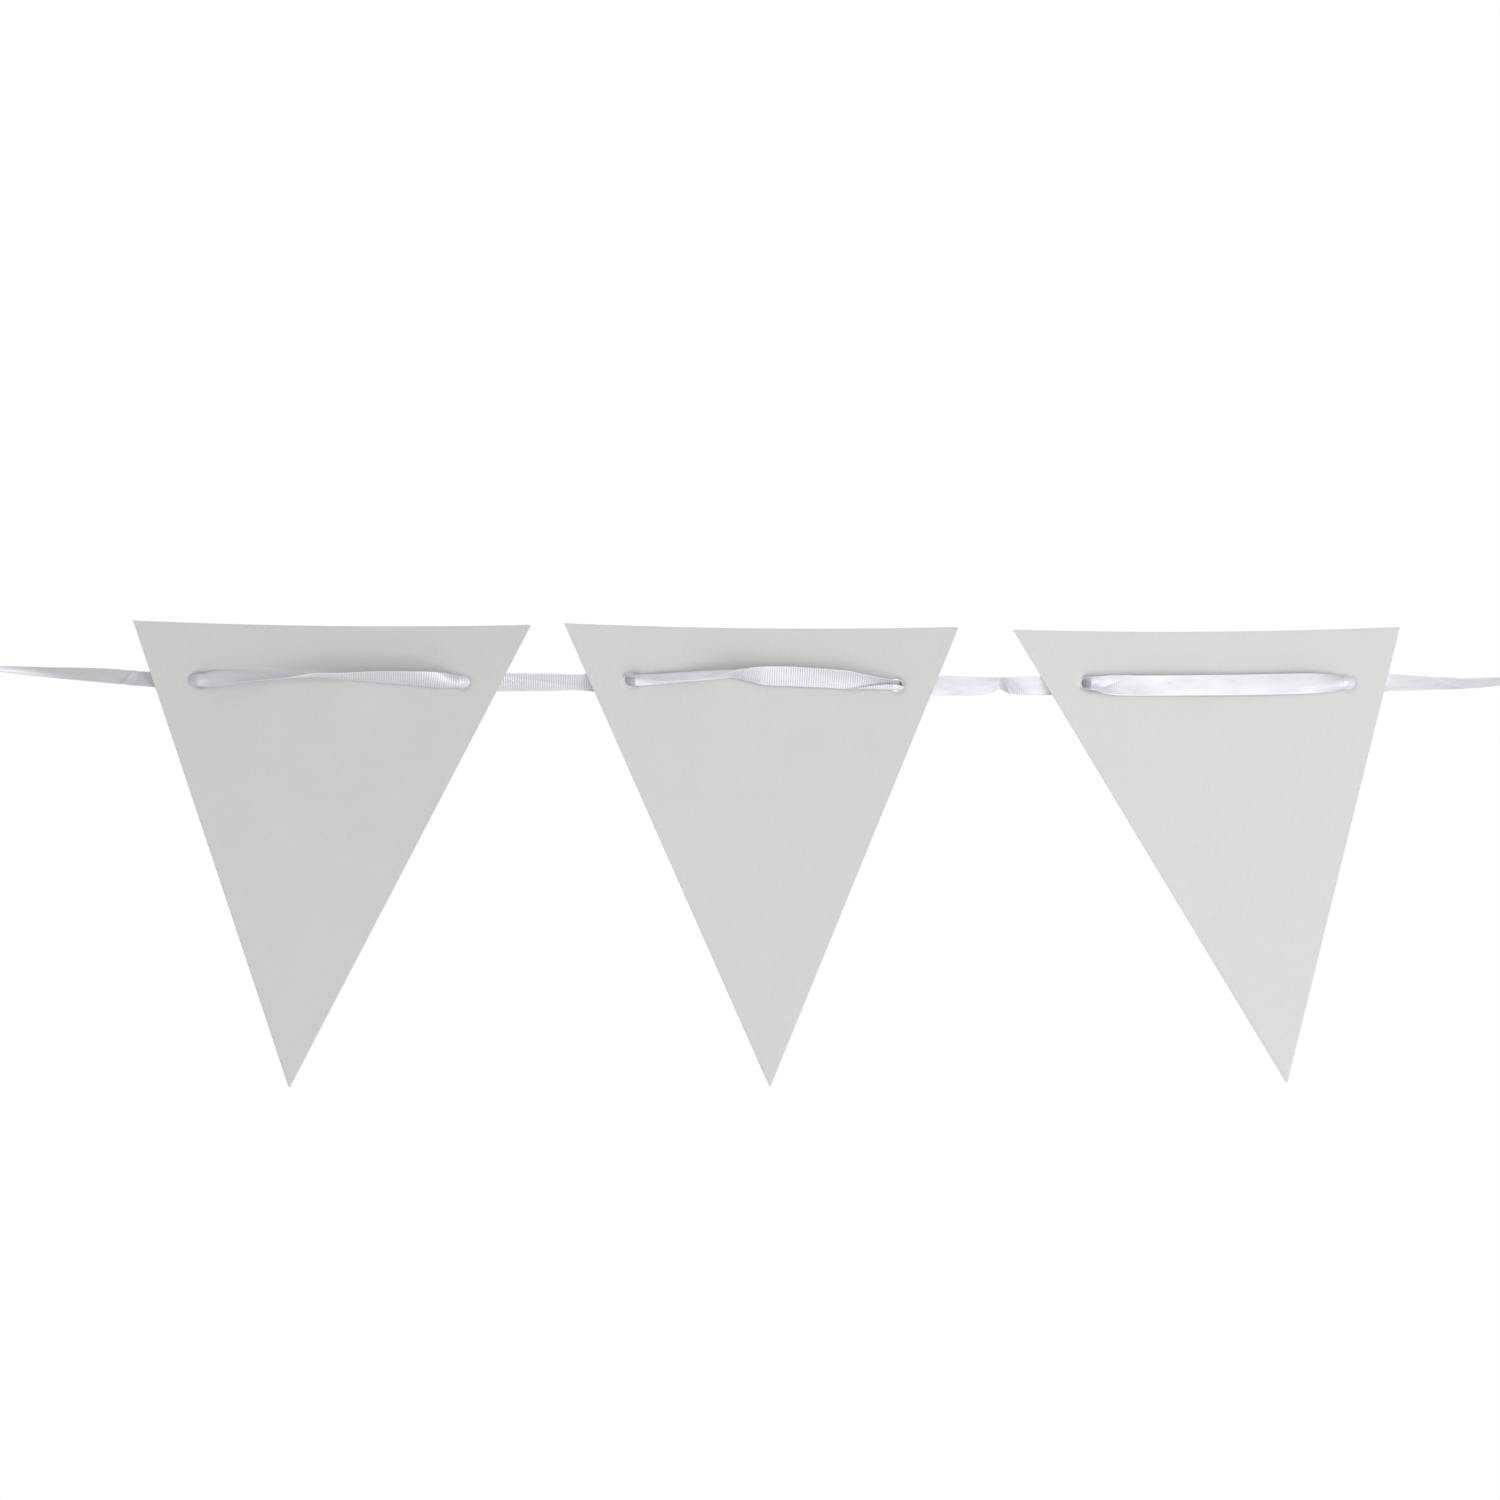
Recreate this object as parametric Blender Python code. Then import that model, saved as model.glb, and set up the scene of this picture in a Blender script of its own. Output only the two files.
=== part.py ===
"""Bunting: three hand-cut card pennants threaded on one narrow satin ribbon.

Metres, +Z up. X runs along the ribbon and the pennants face -Y. The origin is
the middle of the line on which the bunting hangs. Each pennant is a different
scalene triangle with two punched holes. The ribbon passes behind the outer
parts of a pennant, comes to the front through its left hole, crosses it and
goes back through its right hole. It ends at each side in a knot, a short tail
and a hanging loop.
"""
import math
from collections import namedtuple

import bmesh
import bpy
from mathutils import Vector

MM = 0.001

# Stock sizes: a 10 mm ribbon and the holes of a 6 mm office punch.
RIBBON_WIDTH = 10.0 * MM
RIBBON_THICKNESS = 1.0 * MM
CARD_THICKNESS = 1.0 * MM
HOLE_DIAMETER = 6.0 * MM
HOLE_SIDES = 24
GAP = 0.3 * MM
RIBBON_CLEARANCE = 0.45 * MM

# A pennant bows about an upright axis, its middle pushed back by the ribbon.
BOW_DEPTH = 3.8 * MM
BOW_HALF_WIDTH = 94.0 * MM
CARD_COLUMNS = 18
TIP_WIDTH = 0.8 * MM

# Corners, holes and the dip of the top edge below its chord, in millimetres.
Pennant = namedtuple(
    "Pennant",
    "name left_x left_z right_x right_z tip_x tip_z dip "
    "hole_left_x hole_left_z hole_right_x hole_right_z",
)
PENNANTS = (
    Pennant("pennant_left", -293.9, 26.0, -104.2, 23.9, -219.7, -196.4, 1.5,
            -263.8, -2.4, -137.6, -3.3),
    Pennant("pennant_middle", -88.6, 24.7, 99.4, 22.9, 9.5, -196.0, 1.5,
            -56.7, -2.4, 69.5, -4.8),
    Pennant("pennant_right", 125.2, 21.6, 309.6, 22.9, 255.9, -194.2, 1.3,
            161.0, -3.8, 284.3, -3.8),
)

# The ribbon's sections, in millimetres and degrees. Roll 0 faces the front,
# 90 is edge on with that face up, from 90 to 270 the other face shows, and 360
# is a whole turn. The ribbon twists one way, half a turn on each of the left two
# pennants, and leans back a little after them. A width under 10 is the ribbon gathered to pass a hole or a knot.
Section = namedtuple("Section", "x z width roll")
RIBBON_ROUTE = (
    Section(-366.0, 3.1, 7.0, 84.0),
    Section(-357.0, 3.0, 10.0, 75.0),
    Section(-335.0, 1.4, 10.0, 61.0),
    Section(-308.0, -0.2, 10.0, 46.0),
    Section(-286.0, -2.0, 9.6, 42.0),
    Section(-274.0, -2.3, 6.6, 26.0),
    Section(-266.8, -2.4, 4.2, 5.0),
    Section(-260.8, -2.4, 4.2, 8.0),
    Section(-257.4, -2.0, 6.8, 26.0),
    Section(-248.6, -1.4, 9.6, 50.0),
    Section(-239.5, -0.5, 10.0, 60.0),
    Section(-222.0, 0.0, 10.0, 75.0),
    Section(-208.0, 0.0, 10.0, 90.0),
    Section(-191.4, -0.5, 10.0, 110.0),
    Section(-178.1, -0.9, 10.0, 122.0),
    Section(-158.1, -1.7, 10.0, 134.0),
    Section(-148.1, -2.4, 8.6, 146.0),
    Section(-140.6, -3.1, 4.4, 172.0),
    Section(-134.6, -3.3, 4.4, 174.0),
    Section(-126.0, -3.3, 7.4, 160.0),
    Section(-114.0, -3.4, 9.6, 148.0),
    Section(-96.0, -3.4, 10.0, 146.0),
    Section(-77.0, -3.4, 9.6, 150.0),
    Section(-66.0, -3.0, 6.8, 164.0),
    Section(-59.7, -2.5, 4.2, 178.0),
    Section(-53.7, -2.5, 4.2, 184.0),
    Section(-46.0, -2.0, 5.4, 206.0),
    Section(-33.3, -1.1, 7.6, 230.0),
    Section(-22.0, -0.3, 9.4, 240.0),
    Section(-11.4, 0.5, 10.0, 254.0),
    Section(-5.5, 0.4, 10.0, 272.0),
    Section(2.4, 0.1, 10.0, 312.0),
    Section(8.0, -0.4, 10.0, 332.0),
    Section(18.6, -0.6, 10.0, 340.0),
    Section(41.9, -2.0, 9.2, 334.0),
    Section(55.0, -3.3, 8.0, 342.0),
    Section(66.4, -4.6, 4.4, 358.0),
    Section(72.5, -4.8, 4.4, 360.0),
    Section(80.0, -4.9, 7.0, 350.0),
    Section(91.0, -5.0, 9.4, 338.0),
    Section(106.0, -5.2, 10.0, 326.0),
    Section(119.5, -4.0, 10.0, 306.0),
    Section(131.0, -4.8, 10.0, 326.0),
    Section(142.0, -5.0, 9.0, 338.0),
    Section(150.0, -4.5, 7.0, 348.0),
    Section(158.0, -3.8, 4.2, 358.0),
    Section(164.0, -3.9, 4.4, 358.0),
    Section(170.0, -4.7, 8.6, 352.0),
    Section(182.0, -5.0, 10.0, 348.0),
    Section(207.0, -4.9, 10.0, 352.0),
    Section(230.5, -4.7, 10.0, 358.0),
    Section(252.4, -4.3, 10.0, 356.0),
    Section(265.0, -4.0, 9.4, 352.0),
    Section(275.5, -3.9, 7.2, 354.0),
    Section(281.3, -3.8, 4.4, 358.0),
    Section(287.3, -3.8, 4.4, 358.0),
    Section(294.0, -3.7, 7.0, 344.0),
    Section(305.0, -3.5, 9.6, 324.0),
    Section(322.0, -3.8, 10.0, 307.0),
    Section(342.0, -3.9, 10.0, 298.0),
    Section(357.0, -3.1, 10.0, 292.0),
    Section(366.0, -3.1, 7.0, 278.0),
)
RUN_STEP = 2.8 * MM
HOLE_STEP = 0.7 * MM
HOLE_REACH = 3.6 * MM
CROSSING = 2.2 * MM

# Past the outer pennants the ribbon draws in to the hanging line, at y 0.
DRAW_IN_START = 300.0 * MM
DRAW_IN_END = 366.0 * MM

# The hanging ends: a knot, a tail that drops from it and a teardrop loop.
KNOT_LENGTH = 12.6 * MM
KNOT_HEIGHT = 12.0 * MM
KNOT_DEPTH = 9.0 * MM
KNOT_RIDGE = 0.10
KNOT_WRAPS = 3.0
KNOT_SLANT = 2.4
KNOT_BLUNTNESS = 0.12
KNOT_RINGS = 14
KNOT_SIDES = 20
LOOP_LENGTH = 38.0 * MM
LOOP_SWELL = 11.0 * MM
LOOP_ROOT = 0.9 * MM
LOOP_OPENING = 0.16
LOOP_STEPS = 40
TAIL_LENGTH = 24.0 * MM
TAIL_WIDTH = 9.0 * MM
TAIL_SLANT = 4.0 * MM
TAIL_SWING = 5.0 * MM
TAIL_CURL = 3.0 * MM
TAIL_STEPS = 10


def make_material(name, colour, roughness, sheen):
    """A plain Principled finish for one kind of piece."""
    material = bpy.data.materials.new(name)
    material.use_nodes = True
    shader = material.node_tree.nodes["Principled BSDF"]
    shader.inputs["Base Color"].default_value = (*colour, 1.0)
    shader.inputs["Roughness"].default_value = roughness
    shader.inputs["Metallic"].default_value = 0.0
    shader.inputs["Sheen Weight"].default_value = sheen
    return material


def add_object(name, vertices, faces, material, smooth):
    """Make one object from points and faces, its faces turned outwards."""
    mesh = bpy.data.meshes.new(name)
    mesh.from_pydata(vertices, [], faces)
    surface = bmesh.new()
    surface.from_mesh(mesh)
    bmesh.ops.recalc_face_normals(surface, faces=surface.faces)
    surface.to_mesh(mesh)
    surface.free()
    if smooth:
        mesh.shade_smooth()
        mesh.set_sharp_from_angle(angle=math.radians(40.0))
    mesh.materials.append(material)
    piece = bpy.data.objects.new(name, mesh)
    bpy.context.scene.collection.objects.link(piece)
    return piece


def band_faces(count, corners):
    """Faces of a closed tube of count sections, with a cap at each end."""
    faces = []
    for i in range(count - 1):
        for k in range(corners):
            after = (k + 1) % corners
            faces.append((i * corners + k, i * corners + after,
                          (i + 1) * corners + after, (i + 1) * corners + k))
    faces.append(tuple(range(corners)))
    faces.append(tuple((count - 1) * corners + k for k in range(corners)))
    return faces


def card_depth(pennant, x):
    """How far back the card's middle surface lies at x: a shallow parabola."""
    middle = (pennant.hole_left_x + pennant.hole_right_x) / 2.0 * MM
    share = (x - middle) / BOW_HALF_WIDTH
    return BOW_DEPTH * (1.0 - share * share)


def card_top(pennant, x):
    """Height of the top edge at x: its chord less a shallow dip."""
    share = (x / MM - pennant.left_x) / (pennant.right_x - pennant.left_x)
    chord = pennant.left_z + share * (pennant.right_z - pennant.left_z)
    return (chord - pennant.dip * 4.0 * share * (1.0 - share)) * MM


def card_bottom(pennant, x):
    """Height at x of the two straight sides, which meet in the blunt tip."""
    half_tip = TIP_WIDTH / MM / 2.0
    place = x / MM
    if place < pennant.tip_x - half_tip:
        share = (place - pennant.left_x) / (pennant.tip_x - half_tip - pennant.left_x)
        return (pennant.left_z + share * (pennant.tip_z - pennant.left_z)) * MM
    if place > pennant.tip_x + half_tip:
        share = (pennant.right_x - place) / (pennant.right_x - pennant.tip_x - half_tip)
        return (pennant.right_z + share * (pennant.tip_z - pennant.right_z)) * MM
    return pennant.tip_z * MM


def card_stations(pennant):
    """Places along X where the card has an upright line of its bow."""
    half_tip = TIP_WIDTH / 2.0
    left = pennant.left_x * MM
    right = pennant.right_x * MM
    tip = pennant.tip_x * MM
    before = round(CARD_COLUMNS * (tip - left) / (right - left))
    after = CARD_COLUMNS - before
    stations = [left + (tip - half_tip - left) * i / before for i in range(before + 1)]
    stations += [tip + half_tip + (right - tip - half_tip) * i / after
                 for i in range(after + 1)]
    return stations


def punch_hole(piece, x, y, z):
    """Cut a round hole through the card, along Y."""
    bpy.ops.mesh.primitive_cylinder_add(
        vertices=HOLE_SIDES, radius=HOLE_DIAMETER / 2.0, depth=8.0 * CARD_THICKNESS,
        location=(x, y, z), rotation=(math.pi / 2.0, 0.0, 0.0))
    punch = bpy.context.object
    punch.name = "punch"
    punch.display_type = "WIRE"
    punch.hide_render = True
    cut = piece.modifiers.new("punched hole", "BOOLEAN")
    cut.operation = "DIFFERENCE"
    cut.object = punch


def build_pennant(pennant, material):
    """A bowed triangular card with two holes punched through it."""
    stations = card_stations(pennant)
    last = len(stations) - 1
    vertices = []
    layers = []
    for side in (-0.5, 0.5):
        layer = []
        for i, x in enumerate(stations):
            heights = [card_top(pennant, x)]
            if 0 < i < last:
                heights.append(card_bottom(pennant, x))
            y = card_depth(pennant, x) + side * CARD_THICKNESS
            layer.append([len(vertices) + k for k in range(len(heights))])
            vertices += [(x, y, z) for z in heights]
        layers.append(layer)
    front, back = layers
    faces = [first + second[::-1]
             for layer in layers for first, second in zip(layer, layer[1:])]
    for i in range(last):
        for edge in (0, -1):
            faces.append((front[i][edge], front[i + 1][edge],
                          back[i + 1][edge], back[i][edge]))
    piece = add_object(pennant.name, vertices, faces, material, smooth=False)
    for x, z in ((pennant.hole_left_x, pennant.hole_left_z),
                 (pennant.hole_right_x, pennant.hole_right_z)):
        punch_hole(piece, x * MM, card_depth(pennant, x * MM), z * MM)


def nearest_pennant(x):
    """The pennant whose middle is closest to x."""
    return min(PENNANTS, key=lambda p: abs((p.left_x + p.right_x) / 2.0 * MM - x))


def ribbon_side(x):
    """1 where the ribbon is behind the card, -1 in front, between in a hole."""
    side = 1.0
    for pennant in PENNANTS:
        for hole, way in ((pennant.hole_left_x, -1.0), (pennant.hole_right_x, 1.0)):
            share = max(-1.0, min(1.0, (x - hole * MM) / CROSSING))
            side += way * (1.0 + 1.5 * share - 0.5 * share ** 3)
    return side


def read_route(x):
    """The ribbon's section at x, on a smooth curve through the route's rows."""
    rows = RIBBON_ROUTE
    place = x / MM
    i = max(k for k in range(len(rows) - 1) if rows[k].x <= place + 1e-6 or k == 0)
    start = rows[i]
    end = rows[i + 1]
    before = rows[max(i - 1, 0)]
    after = rows[min(i + 2, len(rows) - 1)]
    span = end.x - start.x
    t = (place - start.x) / span
    values = []
    for b, s, e, a in zip(before, start, end, after):
        slope_start = (e - b) / (end.x - before.x) * span
        slope_end = (a - s) / (after.x - start.x) * span
        values.append(s * (1.0 + 2.0 * t) * (1.0 - t) ** 2
                      + slope_start * t * (1.0 - t) ** 2
                      + e * t * t * (3.0 - 2.0 * t)
                      - slope_end * t * t * (1.0 - t))
    return Section(place, *values[1:])


def ribbon_stations():
    """Places along X for the ribbon's sections, close together at the holes."""
    holes = [hole * MM for p in PENNANTS for hole in (p.hole_left_x, p.hole_right_x)]
    x = RIBBON_ROUTE[0].x * MM
    end = RIBBON_ROUTE[-1].x * MM
    stations = []
    while x < end - RUN_STEP / 2.0:
        stations.append(x)
        to_hole = min(abs(x - hole) for hole in holes)
        x += max(HOLE_STEP, min(RUN_STEP, to_hole - HOLE_REACH))
    stations.append(end)
    return stations


def ribbon_depth(section):
    """How far back the ribbon's middle lies, clear of the card beside it."""
    x = section.x * MM
    share = max(0.0, (abs(x) - DRAW_IN_START) / (DRAW_IN_END - DRAW_IN_START))
    draw_in = share * share * (3.0 - 2.0 * share)
    card = max(0.0, card_depth(nearest_pennant(x), x))
    roll = math.radians(section.roll)
    half_depth = (abs(math.sin(roll)) * section.width * MM
                  + abs(math.cos(roll)) * RIBBON_THICKNESS) / 2.0
    stand_off = CARD_THICKNESS / 2.0 + RIBBON_CLEARANCE + half_depth
    return (card + ribbon_side(x) * stand_off) * (1.0 - draw_in)


def build_ribbon(material):
    """The ribbon's main run: a flat section rolled about its own path."""
    sections = [read_route(x) for x in ribbon_stations()]
    middles = [Vector((s.x * MM, ribbon_depth(s), s.z * MM)) for s in sections]
    last = len(middles) - 1
    vertices = []
    for i, section in enumerate(sections):
        along = Vector((1.0, 0.0, 0.0))
        if 0 < i < last:
            along = (middles[i + 1] - middles[i - 1]).normalized()
        back = Vector((0.0, 0.0, 1.0)).cross(along).normalized()
        up = along.cross(back)
        roll = math.radians(section.roll)
        across = up * math.cos(roll) + back * math.sin(roll)
        outward = back * math.cos(roll) - up * math.sin(roll)
        half_width = across * (section.width * MM / 2.0)
        half_thickness = outward * (RIBBON_THICKNESS / 2.0)
        for edge, face in ((-1, -1), (1, -1), (1, 1), (-1, 1)):
            vertices.append(middles[i] + half_width * edge + half_thickness * face)
    add_object("ribbon", vertices, band_faces(len(sections), 4), material, smooth=True)


def build_knot(name, root, side, material):
    """An overhand knot: an egg whose surface has three slanting wraps."""
    centre = root + Vector((side * (GAP + KNOT_LENGTH / 2.0), 0.0, 0.0))
    vertices = []
    for i in range(KNOT_RINGS):
        spread = 1.0 - 2.0 * KNOT_BLUNTNESS
        latitude = math.pi * (KNOT_BLUNTNESS + spread * i / (KNOT_RINGS - 1))
        along = -math.cos(latitude) / math.cos(math.pi * KNOT_BLUNTNESS)
        girth = math.sin(latitude)
        for k in range(KNOT_SIDES):
            turn = 2.0 * math.pi * k / KNOT_SIDES
            ridge = 1.0 + KNOT_RIDGE * math.cos(KNOT_WRAPS * turn - KNOT_SLANT * along)
            vertices.append(centre + Vector((
                side * along * KNOT_LENGTH / 2.0,
                girth * ridge * math.cos(turn) * KNOT_DEPTH / 2.0,
                girth * ridge * math.sin(turn) * KNOT_HEIGHT / 2.0)))
    add_object(name, vertices, band_faces(KNOT_RINGS, KNOT_SIDES), material,
               smooth=True)


def build_loop(name, root, side, material):
    """A teardrop loop in the XZ plane, the ribbon's width lying along Y.

    Over nearly one full turn t, x runs out and back as (1 - cos t) / 2 and z
    swells as sin t times sin of half t.
    """
    start = root + Vector((side * (2.0 * GAP + KNOT_LENGTH), 0.0, 0.0))
    middles = []
    for i in range(LOOP_STEPS + 1):
        turn = LOOP_OPENING + 2.0 * (math.pi - LOOP_OPENING) * i / LOOP_STEPS
        out = LOOP_LENGTH * (1.0 - math.cos(turn)) / 2.0
        rise = LOOP_SWELL * math.sin(turn) * math.sin(turn / 2.0)
        rise += LOOP_ROOT * math.cos(turn / 2.0)
        middles.append(start + Vector((side * out, 0.0, rise)))
    vertices = []
    for i, middle in enumerate(middles):
        along = (middles[min(i + 1, LOOP_STEPS)] - middles[max(i - 1, 0)]).normalized()
        outward = Vector((0.0, 1.0, 0.0)).cross(along) * (RIBBON_THICKNESS / 2.0)
        width = Vector((0.0, RIBBON_WIDTH / 2.0, 0.0))
        for edge, face in ((-1, -1), (1, -1), (1, 1), (-1, 1)):
            vertices.append(middle + width * edge + outward * face)
    add_object(name, vertices, band_faces(LOOP_STEPS + 1, 4), material, smooth=True)


def build_tail(name, root, side, material):
    """The ribbon's short cut end, which drops from the knot and swings out."""
    knot_reach = KNOT_HEIGHT * (1.0 + KNOT_RIDGE) / 2.0
    top = root + Vector((side * (GAP + KNOT_LENGTH / 2.0), 0.0, -knot_reach - GAP))
    vertices = []
    for i in range(TAIL_STEPS + 1):
        share = i / TAIL_STEPS
        middle = top + Vector((side * TAIL_SWING * share ** 2, TAIL_CURL * share ** 2,
                               -TAIL_LENGTH * share))
        half_width = TAIL_WIDTH / 2.0 * (0.7 + 0.3 * min(1.0, 3.0 * share))
        slant = side * TAIL_SLANT / 2.0 * share ** 6
        for edge, face in ((-1, -1), (1, -1), (1, 1), (-1, 1)):
            vertices.append(middle + Vector((
                edge * half_width, face * RIBBON_THICKNESS / 2.0, edge * slant)))
    add_object(name, vertices, band_faces(TAIL_STEPS + 1, 4), material, smooth=True)


def main():
    for old in list(bpy.data.objects):
        bpy.data.objects.remove(old)
    card = make_material("matte card", (0.66, 0.65, 0.63), 0.85, 0.0)
    satin = make_material("white satin ribbon", (0.86, 0.85, 0.87), 0.35, 0.3)
    for pennant in PENNANTS:
        build_pennant(pennant, card)
    build_ribbon(satin)
    for word, end, side in (("left", RIBBON_ROUTE[0], -1.0),
                            ("right", RIBBON_ROUTE[-1], 1.0)):
        root = Vector((end.x * MM, ribbon_depth(end), end.z * MM))
        build_knot("knot_" + word, root, side, satin)
        build_tail("tail_" + word, root, side, satin)
        build_loop("loop_" + word, root, side, satin)


main()
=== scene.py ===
"""Card pennant bunting on a satin ribbon: the looks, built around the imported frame.

Metres, +Z up. X runs along the ribbon to the viewer's right and the pennants
face -Y. Every piece lies where the frame's node lies, and takes its place.
"""

import math
from collections import namedtuple

import bmesh
import bpy
import numpy as np
from bpy.props import FloatProperty, FloatVectorProperty, PointerProperty
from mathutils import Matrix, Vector


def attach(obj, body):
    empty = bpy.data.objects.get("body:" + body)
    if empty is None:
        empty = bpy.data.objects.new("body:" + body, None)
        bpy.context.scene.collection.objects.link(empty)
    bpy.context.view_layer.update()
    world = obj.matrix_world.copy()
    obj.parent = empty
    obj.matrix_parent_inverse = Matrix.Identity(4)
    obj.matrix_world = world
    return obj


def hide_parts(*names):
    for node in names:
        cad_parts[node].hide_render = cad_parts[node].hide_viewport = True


bl_info = {
    "name": "Card Pennant Bunting",
    "version": (1, 0, 0),
    "blender": (4, 5, 0),
    "location": "3D View > Sidebar > Bunting",
    "description": "Builds a bunting of card pennants threaded on a satin ribbon",
    "category": "Add Mesh",
}

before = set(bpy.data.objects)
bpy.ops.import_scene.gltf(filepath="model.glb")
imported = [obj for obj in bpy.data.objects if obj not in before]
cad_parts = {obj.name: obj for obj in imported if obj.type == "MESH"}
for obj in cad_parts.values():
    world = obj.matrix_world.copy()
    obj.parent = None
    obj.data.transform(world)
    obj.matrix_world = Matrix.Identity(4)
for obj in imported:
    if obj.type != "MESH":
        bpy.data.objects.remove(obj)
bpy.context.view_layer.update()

BODY = "root"
MM = 0.001
SIDES = {"left": -1, "right": 1}

# A pennant's node, its piece and its two punched holes, in millimetres.
Pennant = namedtuple("Pennant", "node piece hole_left_x hole_left_z hole_right_x hole_right_z")
PENNANTS = (
    Pennant("pennant_left", "card_left", -263.8, -2.4, -137.6, -3.3),
    Pennant("pennant_middle", "card_middle", -56.7, -2.4, 69.5, -4.8),
    Pennant("pennant_right", "card_right", 161.0, -3.8, 284.3, -3.8),
)

# The ribbon's route, in millimetres and degrees. Roll 0 shows one face, 90 is edge
# on with that face up, 180 shows the other face and 360 is a whole turn. Curl is
# how far each half of the width bends round, above 0 away from the face that roll
# 0 shows. Hem is how far the strip below crease is folded over, and flap how far
# the strip above top is, at places across the ribbon from -5 to 5.
Section = namedtuple("Section", "x z roll curl hem crease flap top",
                     defaults=(0.0, -6.0, 0.0, 8.0))
RIBBON_ROUTE = (
    Section(-366.0, 3.1, 84.0, -30.0),
    Section(-357.0, 3.0, 75.0, -14.0),
    Section(-335.0, 1.4, 61.0, -8.0),
    Section(-308.0, -0.2, 46.0, 4.0),
    Section(-286.0, -2.0, 42.0, -10.0),
    Section(-274.0, -2.3, 26.0, 30.0),
    Section(-266.8, -2.4, 6.0, 94.0),
    Section(-260.8, -2.4, 8.0, 94.0),
    Section(-255.4, -1.9, 26.0, 60.0),
    Section(-248.6, -1.4, 44.0, 24.0),
    Section(-239.5, -0.5, 55.0, -4.0),
    Section(-222.0, 0.0, 70.0, -26.0),
    Section(-208.0, 0.0, 88.0, -44.0),
    Section(-191.4, -0.5, 108.0, -24.0),
    Section(-178.1, -0.9, 120.0, 0.0),
    Section(-158.1, -1.7, 133.0, -18.0),
    Section(-148.1, -2.4, 148.0, -52.0),
    Section(-140.6, -3.1, 172.0, -94.0),
    Section(-134.6, -3.3, 174.0, -94.0),
    Section(-126.0, -3.3, 160.0, -40.0),
    Section(-114.0, -3.4, 148.0, -6.0),
    Section(-96.0, -3.4, 146.0, 4.0),
    Section(-77.0, -3.4, 149.0, 12.0),
    Section(-66.0, -3.0, 262.0, 20.0, flap=-60.0, top=0.4),
    Section(-59.7, -2.5, 368.0, 40.0, flap=-140.0, top=0.6),
    Section(-53.7, -2.5, 368.0, 40.0, flap=-140.0, top=0.6),
    Section(-46.0, -2.1, 364.0, 20.0, flap=-158.0, top=0.3),
    Section(-33.3, -1.1, 352.0, 8.0, flap=-158.0, top=0.2),
    Section(-22.0, -0.3, 330.0, 2.0, flap=-152.0, top=0.8),
    Section(-11.4, 0.5, 303.0, 2.0, flap=-132.0, top=2.8),
    Section(-5.5, 0.4, 300.0, 2.0, flap=-130.0, top=4.4),
    Section(2.4, 0.1, 316.0, 2.0, flap=-130.0, top=6.2),
    Section(8.0, -0.4, 333.0, 0.0, flap=-100.0, top=7.4),
    Section(18.6, -0.6, 340.0, 0.0),
    Section(41.9, -2.0, 334.0, -14.0, hem=40.0, crease=-5.2),
    Section(55.0, -3.3, 338.0, -30.0, hem=130.0, crease=-3.0),
    Section(66.4, -4.6, 352.0, -66.0, hem=120.0, crease=-1.6),
    Section(72.5, -4.8, 358.0, -80.0, hem=70.0, crease=-1.6),
    Section(80.0, -4.9, 350.0, -40.0, hem=20.0, crease=-3.0),
    Section(91.0, -5.0, 338.0, -6.0),
    Section(106.0, -5.2, 332.0, -4.0),
    Section(114.0, -4.9, 324.0, -12.0),
    Section(119.5, -4.0, 308.0, -30.0),
    Section(123.5, -4.8, 320.0, -10.0),
    Section(131.0, -4.9, 332.0, -4.0),
    Section(142.0, -5.0, 338.0, -16.0),
    Section(150.0, -4.5, 348.0, -58.0),
    Section(158.0, -3.8, 366.0, -106.0),
    Section(164.0, -3.9, 372.0, -92.0),
    Section(170.0, -4.6, 364.0, -52.0),
    Section(182.0, -5.0, 350.0, -16.0),
    Section(207.0, -4.9, 352.0, 6.0),
    Section(230.5, -4.7, 358.0, 8.0),
    Section(252.4, -4.3, 356.0, 4.0),
    Section(265.0, -4.0, 352.0, 14.0),
    Section(275.5, -3.9, 354.0, 52.0),
    Section(281.3, -3.8, 358.0, 94.0),
    Section(287.3, -3.8, 358.0, 94.0),
    Section(294.0, -3.7, 344.0, 50.0),
    Section(305.0, -3.5, 326.0, 10.0),
    Section(322.0, -3.8, 310.0, 4.0),
    Section(342.0, -3.9, 300.0, 4.0),
    Section(357.0, -3.1, 292.0, -10.0),
    Section(366.0, -3.1, 278.0, -30.0),
)

# Creases pressed into the ribbon, in millimetres: where one crosses the middle of
# the width, how far along it runs for each step across, its depth and its width.
Crease = namedtuple("Crease", "x slant depth width")
CREASES = (
    Crease(-296.6, 0.35, 0.30, 0.9),
    Crease(-292.5, 0.20, -0.22, 1.1),
    Crease(-287.4, 0.10, 0.14, 0.9),
    Crease(-97.0, 5.5, 0.16, 4.0),
    Crease(-4.6, 0.55, 0.32, 0.8),
    Crease(117.2, 0.25, 0.22, 0.9),
    Crease(119.2, 0.05, -0.30, 0.8),
    Crease(121.4, -0.55, 0.24, 0.9),
    Crease(126.0, -0.9, -0.10, 1.4),
    Crease(171.0, 2.0, -0.22, 2.2),
    Crease(331.0, 1.8, 0.16, 1.8),
    Crease(336.0, -1.6, -0.16, 2.0),
)

# A pennant bows about an upright axis, its middle pushed back by the ribbon.
BOW_DEPTH = 3.8 * MM
BOW_HALF_WIDTH = 94.0 * MM

# Past the outer pennants the ribbon draws in to the hanging line, at y 0.
DRAW_IN_START = 300.0 * MM
DRAW_IN_END = 366.0 * MM

# Stretches on which the ribs show: from and to in x, and in length along the ribbon
# where they start, are full, start to fade and are gone.
RIBBED_PLACES = ((-0.210, -0.060), (-0.014, 0.078))
# Along these lengths the troughs of the ribs also get painted shade.
RIBBED_LENGTHS = ((0.158, 0.182, 0.296, 0.312), (0.362, 0.372, 0.440, 0.456))

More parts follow.
